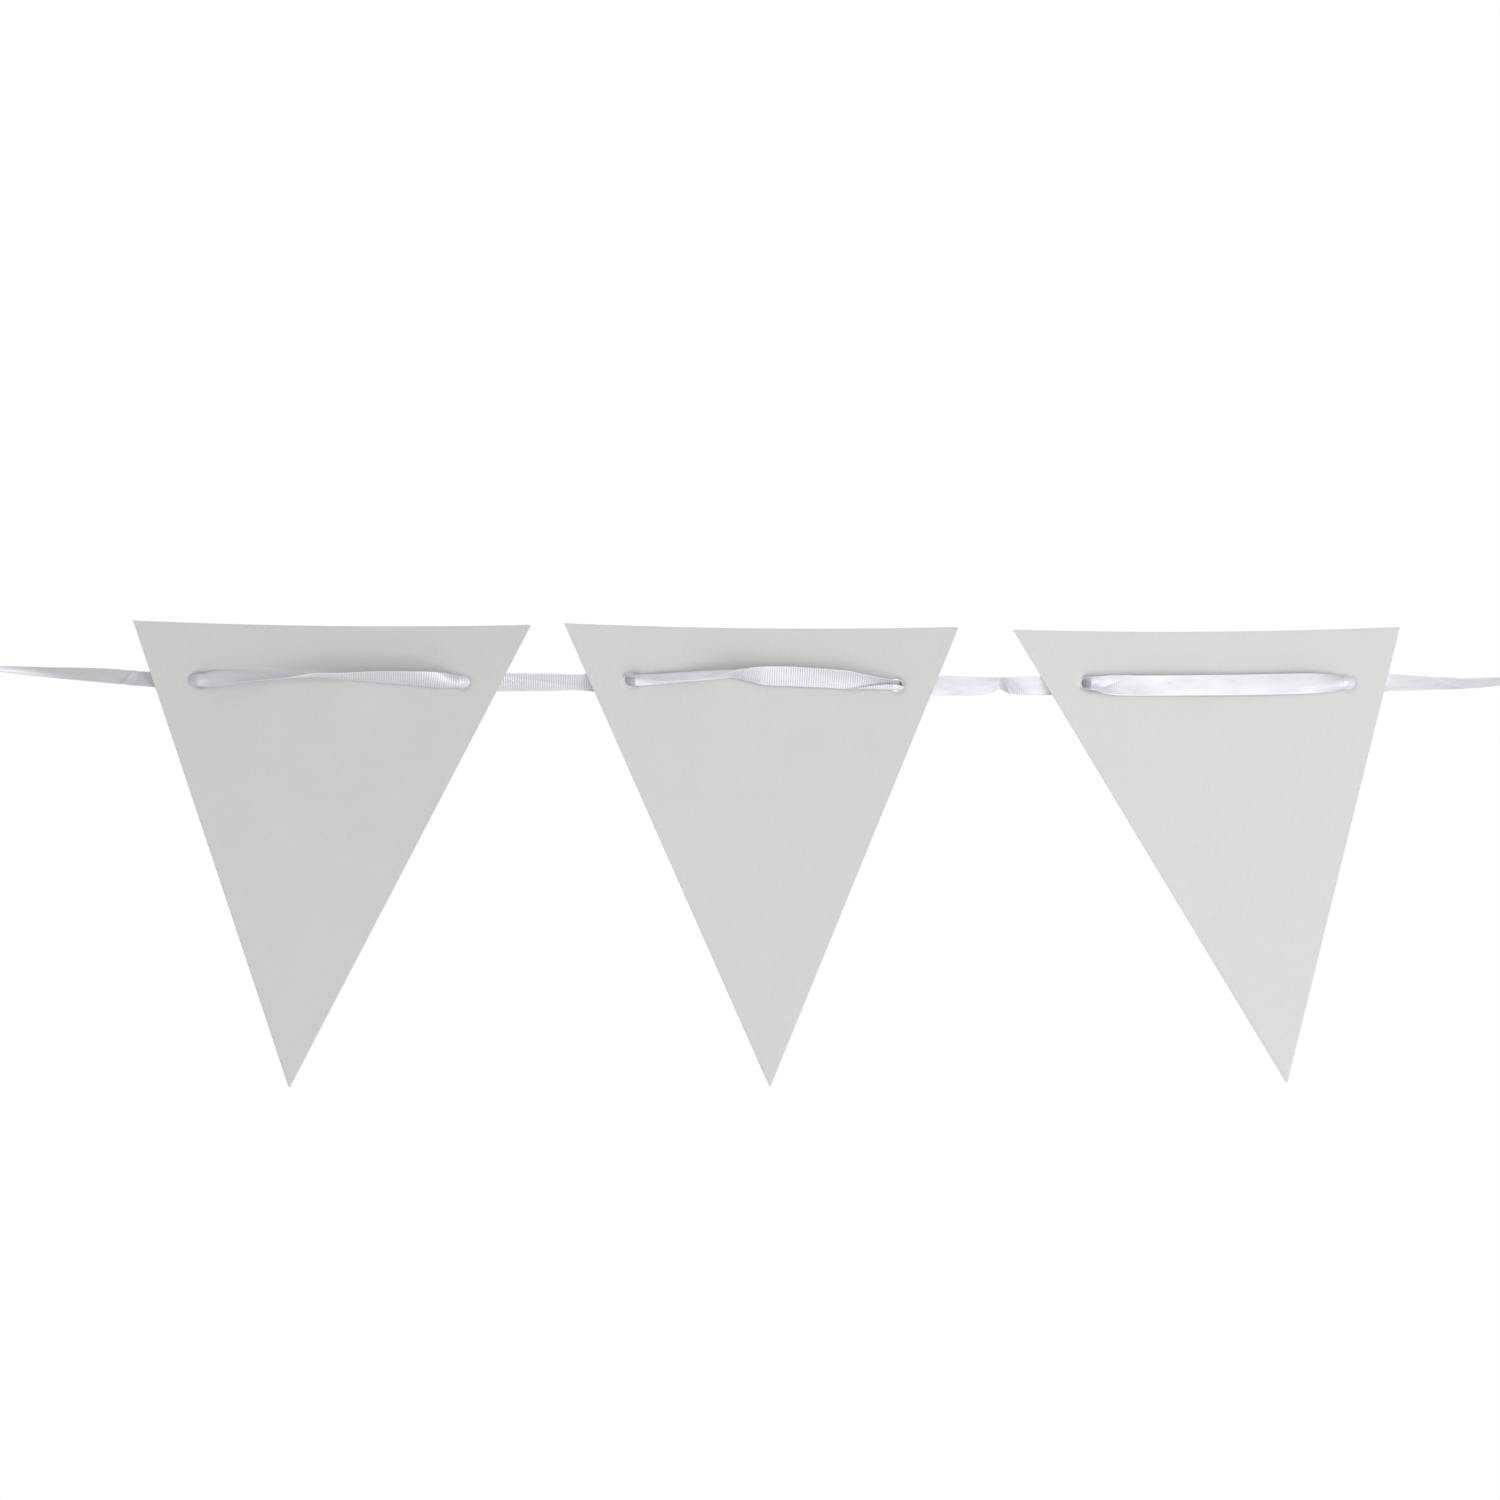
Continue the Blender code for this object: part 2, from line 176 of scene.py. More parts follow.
# The soft lights: name, place, length of side and the setting with the power.
Light = namedtuple("Light", "name place size power")
LIGHTS = (
    Light("front light", (1.25, -1.30, 0.05), 1.1, "front_power"),
    Light("low light", (0.35, -0.95, -0.92), 1.3, "low_power"),
    Light("back light", (-0.5, 1.7, 1.0), 1.2, "back_power"),
)


class CardSettings(bpy.types.PropertyGroup):
    """Sizes and colours of the card pennants."""

    thickness: FloatProperty(
        name="Thickness", description="Thickness of the card",
        default=0.45 * MM, unit="LENGTH")
    dip: FloatProperty(
        name="Top dip", description="How far the top edge sags below its chord",
        default=1.5 * MM, unit="LENGTH")
    tip_width: FloatProperty(
        name="Tip width", description="Width of the blunt tip",
        default=0.8 * MM, unit="LENGTH")
    hole_diameter: FloatProperty(
        name="Hole diameter", description="Diameter of the punched holes",
        default=6.0 * MM, unit="LENGTH")
    edge_round: FloatProperty(
        name="Edge rounding", description="Rounding of the cut edges",
        default=0.15 * MM, unit="LENGTH")
    ripple: FloatProperty(
        name="Ripple", description="How far the card waves off its even bow",
        default=0.12 * MM, unit="LENGTH")
    rim_depth: FloatProperty(
        name="Rim depth", description="How far the punch pressed the rim back",
        default=0.9 * MM, unit="LENGTH")
    rim_reach: FloatProperty(
        name="Rim reach", description="Distance over which the pressed rim levels out",
        default=1.5 * MM, unit="LENGTH")
    colour: FloatVectorProperty(
        name="Card colour", description="Base colour of the card",
        subtype="COLOR", size=3, min=0.0, max=1.0, default=(0.650, 0.645, 0.638))
    fibre_colour: FloatVectorProperty(
        name="Fibre colour", description="Colour of the card's darker fibres",
        subtype="COLOR", size=3, min=0.0, max=1.0, default=(0.622, 0.616, 0.607))


class RibbonSettings(bpy.types.PropertyGroup):
    """Sizes and colours of the satin ribbon."""

    width: FloatProperty(
        name="Width", description="Width of the ribbon laid flat",
        default=10.0 * MM, unit="LENGTH")
    thickness: FloatProperty(
        name="Thickness", description="Thickness of the weave between its ribs",
        default=0.26 * MM, unit="LENGTH")
    rib_pitch: FloatProperty(
        name="Rib pitch", description="Distance from one cross rib to the next",
        default=1.1 * MM, unit="LENGTH")
    rib_height: FloatProperty(
        name="Rib height", description="How far a cross rib stands up from each face",
        default=0.06 * MM, unit="LENGTH")
    selvedge: FloatProperty(
        name="Selvedge", description="Width of the woven edge",
        default=0.55 * MM, unit="LENGTH")
    clearance: FloatProperty(
        name="Clearance", description="Gap between the ribbon and the card that it crosses",
        default=0.15 * MM, unit="LENGTH")
    crossing: FloatProperty(
        name="Crossing", description="Half the distance over which it passes through a hole",
        default=2.9 * MM, unit="LENGTH")
    lean: FloatProperty(
        name="Lean", description="How far from a hole's middle it crosses, towards the outer rim",
        default=1.3 * MM, unit="LENGTH")
    colour: FloatVectorProperty(
        name="Ribbon colour", description="Base colour of the satin",
        subtype="COLOR", size=3, min=0.0, max=1.0, default=(0.785, 0.788, 0.838))
    # Painted shade: a darker bluish colour laid in the grooves between the ribs, where shade
    # falls.
    rib_groove_painted_shade: FloatVectorProperty(
        name="Painted groove shade", description="Colour in the grooves between the ribs",
        subtype="COLOR", size=3, min=0.0, max=1.0, default=(0.612, 0.615, 0.690))


class EndSettings(bpy.types.PropertyGroup):
    """Sizes of the knots, loops and tails at the ribbon's two ends."""

    gap: FloatProperty(
        name="Gap", description="Gap between pieces that meet",
        default=0.3 * MM, unit="LENGTH")
    knot_length: FloatProperty(
        name="Knot length", description="Length of a knot along the ribbon",
        default=12.6 * MM, unit="LENGTH")
    knot_height: FloatProperty(
        name="Knot height", description="Height of a knot",
        default=12.0 * MM, unit="LENGTH")
    knot_depth: FloatProperty(
        name="Knot depth", description="Depth of a knot from front to back",
        default=9.0 * MM, unit="LENGTH")
    loop_length: FloatProperty(
        name="Loop length", description="Length of a hanging loop",
        default=38.0 * MM, unit="LENGTH")
    loop_swell: FloatProperty(
        name="Loop swell", description="How far a loop swells above and below its middle",
        default=11.0 * MM, unit="LENGTH")
    loop_root: FloatProperty(
        name="Loop root", description="Half the distance between a loop's two ends",
        default=0.9 * MM, unit="LENGTH")
    loop_opening: FloatProperty(
        name="Loop opening", description="Turn at which a loop leaves its knot",
        default=0.16, subtype="ANGLE")
    tail_length: FloatProperty(
        name="Tail length", description="Length of a cut end",
        default=24.0 * MM, unit="LENGTH")
    tail_slant: FloatProperty(
        name="Tail slant", description="How far the cut end slants over its width",
        default=4.4 * MM, unit="LENGTH")


class StageSettings(bpy.types.PropertyGroup):
    """Floor, lights and camera."""

    floor_height: FloatProperty(
        name="Floor height", description="Height of the floor",
        default=-1.0, unit="LENGTH")
    floor_radius: FloatProperty(
        name="Floor radius", description="Radius of the round floor",
        default=2.2, unit="LENGTH")
    camera_distance: FloatProperty(
        name="Camera distance", description="Distance of the camera from the ribbon's plane",
        default=2.4, unit="LENGTH")
    view_width: FloatProperty(
        name="View width", description="Width of the view in the ribbon's plane",
        default=0.7143, unit="LENGTH")
    view_height: FloatProperty(
        name="View height", description="Height of the view's middle",
        default=-0.0357, unit="LENGTH")
    front_power: FloatProperty(
        name="Front light", description="Power of the large soft light in front on the right",
        default=16.0, unit="POWER")
    low_power: FloatProperty(
        name="Low light", description="Power of the large soft light in front, close to the floor",
        default=6.8, unit="POWER")
    back_power: FloatProperty(
        name="Back light", description="Power of the soft light behind and above",
        default=9.0, unit="POWER")
    sky: FloatProperty(
        name="Ambient light", description="Strength of the even light from all around",
        default=0.515)


class BuntingSettings(bpy.types.PropertyGroup):
    """All of the bunting's settings."""

    card: PointerProperty(type=CardSettings)
    ribbon: PointerProperty(type=RibbonSettings)
    ends: PointerProperty(type=EndSettings)
    stage: PointerProperty(type=StageSettings)


class Shade:
    """A shader value: arithmetic on it adds the Math nodes that work it out."""

    def __init__(self, recipe, socket):
        self.recipe = recipe
        self.socket = socket

    def maths(self, operation, *values):
        """A Math node fed with these values."""
        node = self.recipe.node("ShaderNodeMath", {"operation": operation},
                                dict(enumerate(values)))
        return Shade(self.recipe, node.outputs[0])

    def __add__(self, other):
        return self.maths("ADD", self, other)

    def __sub__(self, other):
        return self.maths("SUBTRACT", self, other)

    def __rsub__(self, other):
        return self.maths("SUBTRACT", other, self)

    def __mul__(self, other):
        return self.maths("MULTIPLY", self, other)

    __radd__ = __add__
    __rmul__ = __mul__

    def sine(self):
        """Its sine."""
        return self.maths("SINE", self)

    def size(self):
        """Its size without its sign."""
        return self.maths("ABSOLUTE", self)

    def above(self, start, end):
        """0 up to start, 1 past end and a smooth step between."""
        node = self.recipe.node(
            "ShaderNodeMapRange", {"interpolation_type": "SMOOTHSTEP"},
            {"Value": self, "From Min": start, "From Max": end})
        return Shade(self.recipe, node.outputs["Result"])


class Recipe:
    """A material in the making, with the nodes that feed its Principled shader."""

    def __init__(self, name):
        self.material = bpy.data.materials.new(name)
        self.material.use_nodes = True
        self.tree = self.material.node_tree
        self.shader = self.tree.nodes["Principled BSDF"]

    def node(self, kind, settings=(), values=()):
        """Add a node: its settings come first, then its sockets' values or links."""
        node = self.tree.nodes.new(kind)
        for name, value in dict(settings).items():
            setattr(node, name, value)
        for name, value in dict(values).items():
            self.feed(node.inputs[name], value)
        return node

    def feed(self, socket, value):
        """Link a value or another node's socket to this socket, or set it."""
        if isinstance(value, Shade):
            self.tree.links.new(value.socket, socket)
        elif isinstance(value, bpy.types.NodeSocket):
            self.tree.links.new(value, socket)
        else:
            socket.default_value = value

    def noise(self, place, scale, detail=2.0, roughness=0.5):
        """Smooth noise from 0 to 1 that varies with the place."""
        node = self.node("ShaderNodeTexNoise", {"normalize": True},
                         {"Vector": place, "Scale": scale, "Detail": detail,
                          "Roughness": roughness})
        return Shade(self, node.outputs["Fac"])

    def stretched(self, place, scale):
        """The place scaled by its own factor along each axis."""
        node = self.node("ShaderNodeMapping", {}, {"Vector": place, "Scale": scale})
        return node.outputs["Vector"]

    def blend(self, share, first, second):
        """A mix of two colours."""
        node = self.node("ShaderNodeMix", {"data_type": "RGBA"})
        self.feed(node.inputs["Factor"], share)
        for socket, colour in ((node.inputs[6], first), (node.inputs[7], second)):
            self.feed(socket, colour if hasattr(colour, "links") else (*colour, 1.0))
        return node.outputs[2]

    def bump(self, height, distance, strength):
        """Let a height shape the normal, where 1 stands out by the distance."""
        node = self.node("ShaderNodeBump", {}, {
            "Height": height, "Distance": distance, "Strength": strength})
        self.feed(self.shader.inputs["Normal"], node.outputs["Normal"])

    def finish(self, values):
        """Feed the shader's sockets and hand over the material."""
        for name, value in values.items():
            self.feed(self.shader.inputs[name], value)
        return self.material


def card_material(card):
    """Matte uncoated card: fine fibres, a faint mottle and a slight tooth."""
    recipe = Recipe("matte card")
    place = recipe.node("ShaderNodeTexCoord").outputs["Object"]
    mottle = recipe.noise(place, scale=42.0, detail=3.0)
    fibres = recipe.noise(recipe.stretched(place, (1.0, 1.0, 0.45)), scale=1500.0,
                          detail=4.0, roughness=0.6)
    tooth = recipe.noise(place, scale=2600.0, detail=3.0, roughness=0.55)
    share = (mottle * 0.25 + fibres * 0.75).above(0.30, 0.70)
    recipe.bump(fibres * 0.6 + tooth * 0.4, distance=0.05 * MM, strength=0.55)
    return recipe.finish({
        "Base Color": recipe.blend(share, card.fibre_colour, card.colour),
        "Roughness": tooth * 0.12 + 0.78,
        "Specular IOR Level": 0.35,
    })


def ribbon_material(ribbon):
    """White satin with cross ribs and painted shade in the grooves between them; its UV runs along
    and across in metres.
    """
    recipe = Recipe("white satin ribbon")
    place = recipe.node("ShaderNodeUVMap", {"uv_map": "weave"}).outputs["UV"]
    axes = recipe.node("ShaderNodeSeparateXYZ", {}, {"Vector": place})
    along = Shade(recipe, axes.outputs["X"])
    across = Shade(recipe, axes.outputs["Y"])
    ribs = (along * (2.0 * math.pi / ribbon.rib_pitch)).sine() * 0.5 + 0.5
    edge = across.size().above(ribbon.width / 2.0 - 1.2 * ribbon.selvedge,
                               ribbon.width / 2.0 - 0.8 * ribbon.selvedge)
    floats = recipe.noise(recipe.stretched(place, (220.0, 5200.0, 1.0)), scale=1.0,
                          detail=3.0, roughness=0.6)
    cloud = recipe.noise(recipe.stretched(place, (70.0, 210.0, 1.0)), scale=1.0)
    ribbed = sum(along.above(start, full) * (1.0 - along.above(fading, gone))
                 for start, full, fading, gone in RIBBED_LENGTHS)
    weave = ribs * (ribbed * 0.75 + 0.25) + floats * 0.40
    recipe.bump(weave * (1.0 - edge * 0.6), distance=0.07 * MM, strength=0.9)
    streaks = floats * 0.45 + cloud * 0.55 + edge * 0.3
    # Painted shade: where the ribs show, their troughs take the darker groove colour, as the shade
    # that falls between the ribs.
    share = (streaks * (1.0 - ribbed * 0.55) + ribs * ribbed * 0.60).above(0.16, 0.62)
    return recipe.finish({
        "Base Color": recipe.blend(share, ribbon.rib_groove_painted_shade, ribbon.colour),
        "Roughness": 0.48 - floats * 0.16,
        "Metallic": 0.25,
        "Specular IOR Level": 0.6,
        "Sheen Weight": 0.18,
        "Sheen Roughness": 0.4,
    })


def floor_material():
    """Plain pale floor, a little uneven in tone."""
    recipe = Recipe("pale floor")
    place = recipe.node("ShaderNodeTexCoord").outputs["Object"]
    cloud = recipe.noise(place, scale=2.5)
    return recipe.finish({
        "Base Color": recipe.blend(cloud, (0.86, 0.86, 0.855), (0.90, 0.90, 0.895)),
        "Roughness": 0.9,
    })


def grid_quads(rows, columns, first=0):
    """Corner numbers of the quads of a grid whose points are numbered row by row."""
    row, column = np.meshgrid(np.arange(rows - 1), np.arange(columns - 1), indexing="ij")
    corner = first + row * columns + column
    return np.stack([corner, corner + 1, corner + columns + 1, corner + columns],
                    axis=-1).reshape(-1, 4)


def make_piece(name, points, quads, material, weave=None):
    """Put whole arrays of points and quads into a new smooth-shaded object.

    The weave gives each point its place along and across the ribbon, as its UV.
    """
    mesh = bpy.data.meshes.new(name)
    mesh.vertices.add(len(points))
    mesh.vertices.foreach_set("co", np.ascontiguousarray(points, np.float32).ravel())
    mesh.loops.add(quads.size)
    mesh.loops.foreach_set("vertex_index", quads.astype(np.int32).ravel())
    mesh.polygons.add(len(quads))
    mesh.polygons.foreach_set("loop_start", np.arange(0, quads.size, 4, dtype=np.int32))
    mesh.update(calc_edges=True)
    if weave is not None:
        layer = mesh.uv_layers.new(name="weave")
        layer.data.foreach_set("uv", weave[quads.ravel()].astype(np.float32).ravel())
    mesh.shade_smooth()
    mesh.materials.append(material)
    piece = bpy.data.objects.new(name, mesh)
    bpy.context.scene.collection.objects.link(piece)
    return piece


def close_up(piece, near, facing=None):
    """Merge points nearer than near and turn the faces outwards.

    The faces of an open sheet are turned to the side that it faces.
    """
    surface = bmesh.new()
    surface.from_mesh(piece.data)
    bmesh.ops.remove_doubles(surface, verts=surface.verts, dist=near)
    bmesh.ops.dissolve_degenerate(surface, edges=surface.edges, dist=near / 4.0)
    bmesh.ops.recalc_face_normals(surface, faces=surface.faces)
    if facing and sum(face.normal.dot(facing) for face in surface.faces) < 0.0:
        bmesh.ops.reverse_faces(surface, faces=surface.faces)
    surface.to_mesh(piece.data)
    surface.free()


def smooth_step(start, end, value):
    """0 up to start, 1 past end and a cubic between."""
    share = np.clip((value - start) / (end - start), 0.0, 1.0)
    return share * share * (3.0 - 2.0 * share)


def nearest_pennant(x):
    """X midway between the holes of the pennant closest to each x, and half of the
    distance between them."""
    left = np.array([p.hole_left_x for p in PENNANTS]) * MM
    right = np.array([p.hole_right_x for p in PENNANTS]) * MM
    middles = (left + right) / 2.0
    nearest = np.abs(x[..., None] - middles).argmin(axis=-1)
    return middles[nearest], ((right - left) / 2.0)[nearest]


def card_depth(x, middle):
    """How far back a card's middle surface lies: BOW_DEPTH times one less the
    square of the distance from its middle over BOW_HALF_WIDTH."""
    return BOW_DEPTH * (1.0 - ((x - middle) / BOW_HALF_WIDTH) ** 2)


def read_table(rows, places):
    """The rows' values at each place of their first column, on a smooth curve.

    Between two rows it is the cubic that takes, at each row, the slope from the
    row before to the row after.
    """
    table = np.array(rows, float)
    knots = table[:, 0]
    slopes = np.zeros_like(table)
    slopes[1:-1] = (table[2:] - table[:-2]) / (knots[2:] - knots[:-2])[:, None]
    slopes[0] = (table[1] - table[0]) / (knots[1] - knots[0])
    slopes[-1] = (table[-1] - table[-2]) / (knots[-1] - knots[-2])
    i = np.clip(np.searchsorted(knots, places, side="right") - 1, 0, len(knots) - 2)
    span = (knots[i + 1] - knots[i])[:, None]
    t = ((places - knots[i]) / (knots[i + 1] - knots[i]))[:, None]
    values = (table[i] * (1.0 + 2.0 * t) * (1.0 - t) ** 2
              + slopes[i] * span * t * (1.0 - t) ** 2
              + table[i + 1] * t * t * (3.0 - 2.0 * t)
              - slopes[i + 1] * span * t * t * (1.0 - t))
    return values.T


def node_corners(node):
    """A card node's left, right and lowest corner, read from the frame's mesh."""
    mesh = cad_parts[node].data
    points = np.empty(len(mesh.vertices) * 3)
    mesh.vertices.foreach_get("co", points)
    points = points.reshape(-1, 3)
    near = 0.05 * MM
    left = points[points[:, 0] < points[:, 0].min() + near].mean(axis=0)
    right = points[points[:, 0] > points[:, 0].max() - near].mean(axis=0)
    tip = points[points[:, 2] < points[:, 2].min() + near].mean(axis=0)
    return left, right, tip


def card_patches(corners, holes, card):
    """The card's outline filled with grids of points (x, z).

    Columns run from the straight sides up to the top edge, which is its chord
    less a shallow parabola, and squeeze in towards the left and right corners.
    Around each hole a square is left out of the columns and filled with rays from
    the round rim to the square.
    """
    left, right, tip = corners
    half_tip = card.tip_width / 2.0
    half_box = 8.0 * MM
    box_steps = 16
    ring_steps = 12
    ring_crowding = 1.7
    upper_steps = 14
    lower_steps = 56

    def top(x):
        share = (x - left[0]) / (right[0] - left[0])
        chord = left[2] + share * (right[2] - left[2])
        return chord - card.dip * 4.0 * share * (1.0 - share)

    def bottom(x):
        return np.interp(x, [left[0], tip[0] - half_tip, tip[0] + half_tip, right[0]],
                         [left[2], tip[2], tip[2], right[2]])

    (first_x, first_z), (second_x, second_z) = holes
    box_low = min(first_z, second_z) - half_box
    box_high = max(first_z, second_z) + half_box
    edges = [left[0], first_x - half_box, first_x + half_box, tip[0] - half_tip,
             tip[0] + half_tip, second_x - half_box, second_x + half_box, right[0]]
    column_counts = [16, box_steps, 20, 1, 28, box_steps, 16]
    outer = {0: edges[1], len(column_counts) - 1: edges[-2]}
    patches = []
    for k, count in enumerate(column_counts):
        x = np.linspace(edges[k], edges[k + 1], count + 1)
        low = np.full(count + 1, box_low)
        high = np.full(count + 1, box_high)
        if k in outer:
            inner_low = bottom(outer[k])
            squeeze = (top(x) - bottom(x)) / (top(outer[k]) - inner_low)
            low = bottom(x) + (box_low - inner_low) * squeeze
            high = bottom(x) + (box_high - inner_low) * squeeze
        bands = [(bottom(x), low, lower_steps), (high, top(x), upper_steps)]
        if k not in (1, 5):
            bands.append((low, high, box_steps))
        for start, end, rows in bands:
            share = np.linspace(0.0, 1.0, rows + 1)[:, None]
            z = start + share * (end - start)
            patches.append(np.stack([np.broadcast_to(x, z.shape), z], axis=-1))
    for hole_x, hole_z in holes:
        side = np.linspace(-1.0, 1.0, box_steps + 1)[:-1]
        ones = np.ones(box_steps)
        square_x = np.concatenate([side, ones, -side, -ones]) * half_box + hole_x
        square_z = np.concatenate([-ones, side, ones, -side])
        middle = (box_low + box_high) / 2.0
        square_z = square_z * (box_high - box_low) / 2.0 + middle
        turn = np.arctan2(square_z - hole_z, square_x - hole_x)
        rim_x = hole_x + card.hole_diameter / 2.0 * np.cos(turn)
        rim_z = hole_z + card.hole_diameter / 2.0 * np.sin(turn)
        share = (np.linspace(0.0, 1.0, ring_steps + 1) ** ring_crowding)[:, None]
        x = rim_x + share * (square_x - rim_x)
        z = rim_z + share * (square_z - rim_z)
        ring = np.stack([x, z], axis=-1)
        patches.append(np.concatenate([ring, ring[:, :1]], axis=1))
    return patches


def build_card(pennant, card, material):
    """One pennant: a thin card on its node's bow, its rims pressed back a little.

    The depth of the middle surface is the bow's, plus at each hole the rim's
    depth times exp of minus the squared distance from the rim over its reach,
    and a faint ripple of two crossing waves.
    """
    corners = node_corners(pennant.node)
    holes = [(pennant.hole_left_x * MM, pennant.hole_left_z * MM),
             (pennant.hole_right_x * MM, pennant.hole_right_z * MM)]
    points = []
    quads = []
    first = 0
    for patch in card_patches(corners, holes, card):
        rows, columns = patch.shape[:2]
        quads.append(grid_quads(rows, columns, first))
        points.append(patch.reshape(-1, 2))
        first += rows * columns
    flat = np.concatenate(points)
    x, z = flat.T
    middle = (holes[0][0] + holes[1][0]) / 2.0
    depth = card_depth(x, middle)
    for hole_x, hole_z in holes:
        reach = np.hypot(x - hole_x, z - hole_z) - card.hole_diameter / 2.0
        depth += card.rim_depth * np.exp(-(reach / card.rim_reach) ** 2)
    depth += card.ripple * np.sin(41.0 * x + 23.0 * z) * np.sin(17.0 * x - 35.0 * z + 1.0)
    piece = make_piece(pennant.piece, np.stack([x, depth, z], axis=-1),
                       np.concatenate(quads), material)
    close_up(piece, 0.02 * MM, facing=(0.0, -1.0, 0.0))
    wall = piece.modifiers.new("card thickness", "SOLIDIFY")
    wall.thickness = card.thickness
    wall.offset = 0.0
    wall.use_even_offset = True
    edge = piece.modifiers.new("cut edge", "BEVEL")
    edge.width = card.edge_round
    edge.segments = 2
    edge.limit_method = "ANGLE"
    edge.angle_limit = math.radians(50.0)
    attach(piece, BODY)
    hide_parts(pennant.node)


def ribbon_across(ribbon):
    """Places across the ribbon, close together at its selvedges."""
    half = ribbon.width / 2.0
    body_points = 19
    edge_shares = np.array([0.72, 0.45, 0.2, 0.0])
    body = np.linspace(-1.0, 1.0, body_points) * (half - ribbon.selvedge)
    edge = half - ribbon.selvedge * edge_shares
    return np.concatenate([-edge[::-1], body, edge])


def ribbon_shell(middle, outward, along, across, ribbon):
    """The points, quads and weave of a closed strip around a grid of points.

    Each face stands off the middle surface by half the thickness, plus the ribs'
    half cosine along the ribbon and a small bead at each selvedge, which rounds
    off to a thin edge.
    """
    rows, columns = middle.shape[:2]
    bead_place = 0.3 * MM
    bead_width = 0.2 * MM
    bead_height = 0.07 * MM
    from_edge = ribbon.width / 2.0 - np.abs(across)
    bead = np.exp(-((from_edge - bead_place) / bead_width) ** 2) * bead_height
    round_off = smooth_step(-0.12 * MM, 0.25 * MM, from_edge)
    ribs = 0.5 + 0.5 * np.sin(2.0 * math.pi * along / ribbon.rib_pitch)
    body = smooth_step(ribbon.selvedge * 0.6, ribbon.selvedge * 1.2, from_edge)
    stand_off = ribbon.thickness / 2.0 + bead + ribs[:, None] * body * ribbon.rib_height
    stand_off = stand_off * round_off
    shell = [middle + outward * stand_off[..., None], middle - outward * stand_off[..., None]]
    around = np.concatenate([shell[0], shell[1][:, ::-1]], axis=1)
    turn = around.shape[1]
    points = around.reshape(-1, 3)
    ring = np.arange(turn)
    row = np.arange(rows - 1)[:, None]
    start = row * turn + ring
    after = row * turn + (ring + 1) % turn
    sides = np.stack([start, after, after + turn, start + turn], axis=-1).reshape(-1, 4)
    j = np.arange(columns - 1)
    cap = np.stack([j, turn - 1 - j, turn - 2 - j, j + 1], axis=-1)
    far_cap = cap[:, ::-1] + (rows - 1) * turn
    weave = np.stack(np.broadcast_arrays(along[:, None], np.concatenate([across, across[::-1]])),
                     axis=-1).reshape(-1, 2)
    return points, np.concatenate([sides, cap, far_cap]), weave


def satin_piece(name, node, shells, ribbon):
    """One piece from one or more closed shells, in its node's place."""
    satin = material_named("white satin ribbon", ribbon_material, ribbon)
    counts = np.cumsum([0] + [len(points) for points, _, _ in shells])
    quads = np.concatenate([shell[1] + first for shell, first in zip(shells, counts)])
    piece = make_piece(name, np.concatenate([shell[0] for shell in shells]), quads, satin,
                       np.concatenate([shell[2] for shell in shells]))
    close_up(piece, 0.01 * MM)
    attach(piece, BODY)
    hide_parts(node)
    return piece


def across_section(turn, across):
    """How far each point of a section has gone across and to its back: the cosine
    and the sine of its direction there, summed over the width."""
    between = (turn[:, 1:] + turn[:, :-1]) / 2.0
    widths = np.diff(across)
    start = np.zeros((len(turn), 1))
    sideways = np.cumsum(np.cos(between) * widths, axis=1)
    backwards = np.cumsum(np.sin(between) * widths, axis=1)
    return (np.concatenate([start, sideways], axis=1),
            np.concatenate([start, backwards], axis=1))


def carry_section(centre, wide, deep, turn, sideways, backwards):
    """Points of a strip and their normals, for sections set on a path's centres."""
    middle = (centre[:, None] + sideways[..., None] * wide[:, None]
              + backwards[..., None] * deep[:, None])
    outward = (np.sin(turn)[..., None] * wide[:, None]
               - np.cos(turn)[..., None] * deep[:, None])
    return middle, outward


def path_lengths(centre):
    """Length along a path at each of its points."""
    steps = np.linalg.norm(np.diff(centre, axis=0), axis=1)
    return np.concatenate([[0.0], np.cumsum(steps)])


def unit(vectors):
    """The vectors at length 1."""
    return vectors / np.linalg.norm(vectors, axis=-1, keepdims=True)


def ribbon_places(ribbon):
    """X of the ribbon's rows: a quarter of a rib apart where the ribs show, and
    closer at the holes than elsewhere."""
    close = [hole for p in PENNANTS for hole in (p.hole_left_x, p.hole_right_x)]
    close = np.array(close + [crease.x for crease in CREASES]) * MM
    fine = ribbon.rib_pitch / 4.0
    fine_reach = 2.0 * MM
    growth = 0.12
    places = [-DRAW_IN_END]
    while places[-1] < DRAW_IN_END - fine:
        x = places[-1]
        distance = max(0.0, np.abs(close - x).min() - fine_reach)
        step = fine
        if not any(start < x < end for start, end in RIBBED_PLACES):
            step = min(ribbon.rib_pitch, max(fine, distance * growth))
        places.append(x + step)
    places[-1] = DRAW_IN_END
    return np.array(places)


def ribbon_side(x, crossing, lean):
    """1 where the ribbon is behind a card and -1 in front, eased in each hole."""
    side = np.ones_like(x)
    for p in PENNANTS:
        left = p.hole_left_x * MM - lean
        right = p.hole_right_x * MM + lean
        side -= 2.0 * smooth_step(left - crossing, left + crossing, x)
        side += 2.0 * smooth_step(right - crossing, right + crossing, x)
    return side


